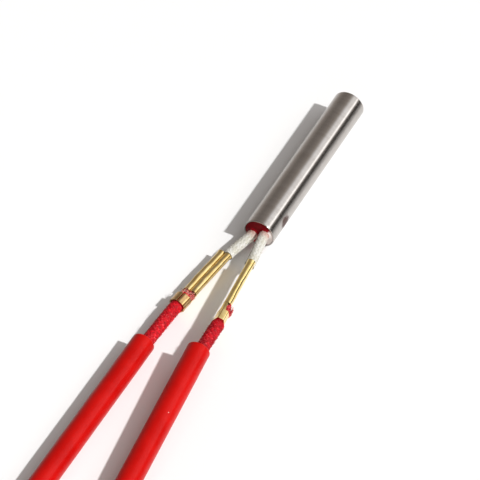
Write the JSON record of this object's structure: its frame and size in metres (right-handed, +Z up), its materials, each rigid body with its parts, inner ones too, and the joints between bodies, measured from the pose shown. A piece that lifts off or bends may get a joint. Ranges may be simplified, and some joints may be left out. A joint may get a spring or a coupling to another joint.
{
  "type": "cartridge heater",
  "caption": "stainless cartridge heater with a red silicone seal, glass-sleeved pins, brass crimp splices and red braided leads in silicone sleeves",
  "frame": {"origin": "centre of the sheath's open mouth, on the sheath's axis", "axes": "+X along the sheath to its closed end, +Z up from the surface that the heater lies on, +Y to the left lead"},
  "size_m": [0.2629, 0.0274, 0.0084],
  "materials": {
    "stainless": "ground satin",
    "magnesia": "matt",
    "resistance_wire": "drawn",
    "red_seal": "glossy",
    "nickel": "drawn",
    "glass_braid": "braided",
    "brass": "bright",
    "tinned_strand": "stranded",
    "red_braid": "braided",
    "red_silicone": "satin",
    "tie_nylon": "matt"
  },
  "bodies": {
    "root": {"sheath": "stainless", "end_disc": "stainless", "base_insulator": "magnesia", "magnesia_core": "magnesia", "magnesia_fill": "magnesia", "mouth_insulator": "magnesia", "heating_coil": "resistance_wire", "silicone_seal": "red_seal", "left_terminal_pin": "nickel", "right_terminal_pin": "nickel", "left_glass_sleeve": "glass_braid", "right_glass_sleeve": "glass_braid", "left_splice": "brass", "right_splice": "brass", "left_conductor": "tinned_strand", "right_conductor": "tinned_strand", "left_bare_end": "tinned_strand", "right_bare_end": "tinned_strand", "left_lead_wire": "red_braid", "right_lead_wire": "red_braid", "left_lead_hank": "red_braid", "right_lead_hank": "red_braid", "left_joint_sleeve": "red_silicone", "right_joint_sleeve": "red_silicone", "left_hank_tie": "tie_nylon", "right_hank_tie": "tie_nylon"}
  },
  "joints": []
}
